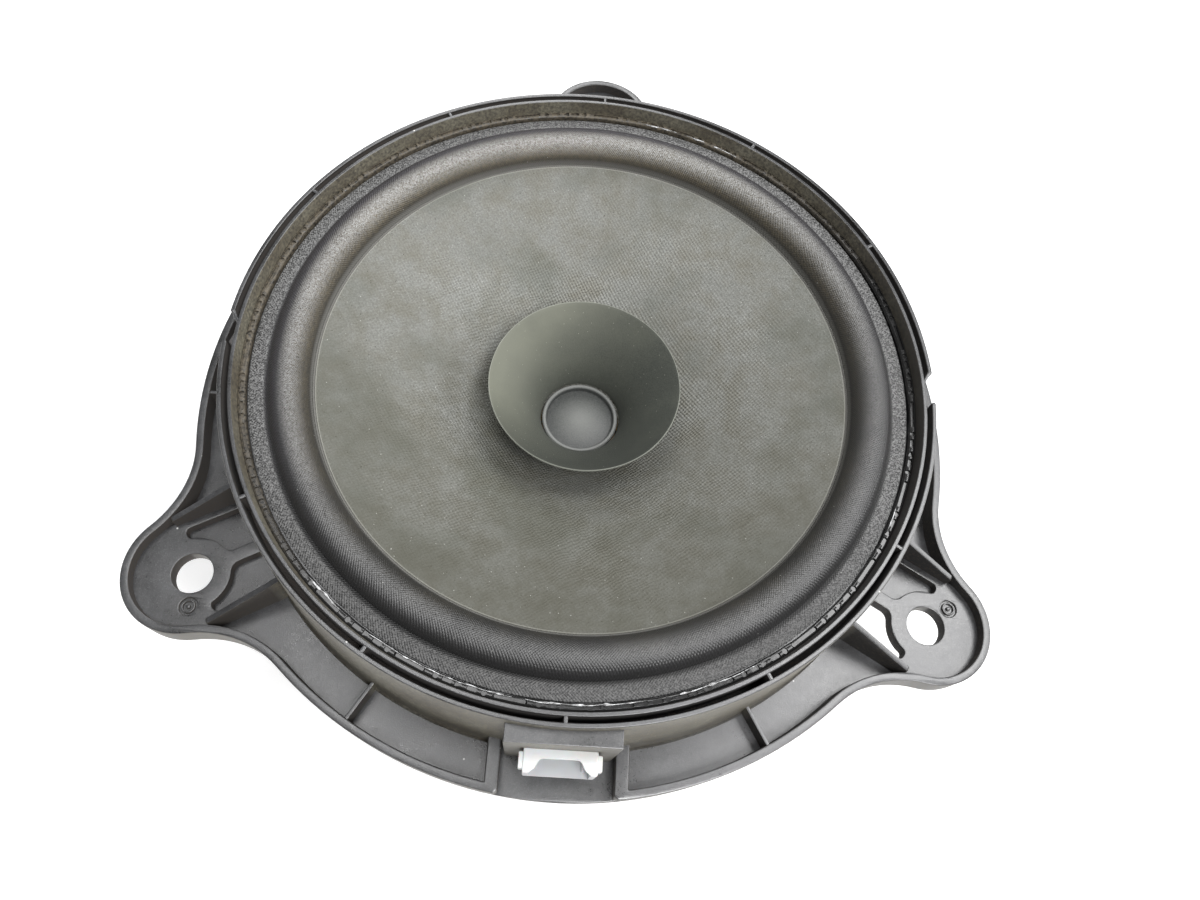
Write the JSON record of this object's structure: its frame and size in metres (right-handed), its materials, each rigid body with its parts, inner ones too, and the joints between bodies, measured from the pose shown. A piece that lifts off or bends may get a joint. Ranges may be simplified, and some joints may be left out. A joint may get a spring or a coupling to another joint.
{
  "type": "car door speaker",
  "caption": "Full-range car door speaker: tall moulded basket with round mounting ears and a plug socket, paper cone with whizzer cone and dust cap, ferrite motor.",
  "frame": {"origin": "centre of the motor's flat back face, on the speaker's axis", "axes": "+Z along the axis, out of the front of the cone; -Y towards the plug socket; +Y towards the ear opposite it"},
  "size_m": [0.2046, 0.2112, 0.072],
  "materials": {
    "basket_plastic": "moulded, satin, dusty",
    "socket_plastic": "satin white",
    "tinned_metal": "bright tin",
    "surround_rubber": "fine grain",
    "edge_glue": "glossy",
    "cone_paper": "pressed paper with a woven emboss",
    "whizzer_paper": "smooth pressed paper",
    "cap_paper": "satin pressed paper",
    "former_paper": "kraft paper",
    "coil_copper": "enamelled copper",
    "spider_cloth": "resin-stiffened cotton",
    "tinsel_braid": "braided tinsel",
    "zinc_steel": "zinc plated",
    "ferrite": "ground ferrite"
  },
  "bodies": {
    "frame": {"basket": "basket_plastic", "socket_housing": "socket_plastic", "terminal_pin_1": "tinned_metal", "terminal_pin_2": "tinned_metal", "surround": "surround_rubber", "edge_glue_bead": "edge_glue", "spider": "spider_cloth", "tinsel_lead_1": "tinsel_braid", "tinsel_lead_2": "tinsel_braid", "top_plate": "zinc_steel", "magnet": "ferrite", "pole_yoke": "zinc_steel", "motor_rivet_1": "tinned_metal", "motor_rivet_2": "tinned_metal", "motor_rivet_3": "tinned_metal", "motor_rivet_4": "tinned_metal"},
    "cone_assembly": {"cone": "cone_paper", "whizzer_cone": "whizzer_paper", "dust_cap": "cap_paper", "voice_coil_former": "former_paper", "voice_coil": "coil_copper", "coil_solder_pad_1": "coil_copper", "coil_solder_pad_2": "coil_copper"}
  },
  "joints": [
    {"name": "cone_travel", "type": "slide", "parent": "frame", "child": "cone_assembly", "axis": [0, 0, 1], "range_m": [-0.003, 0.003], "stiffness_N_per_m": 2000, "deforming": ["surround", "spider", "tinsel_lead_1", "tinsel_lead_2"]}
  ]
}
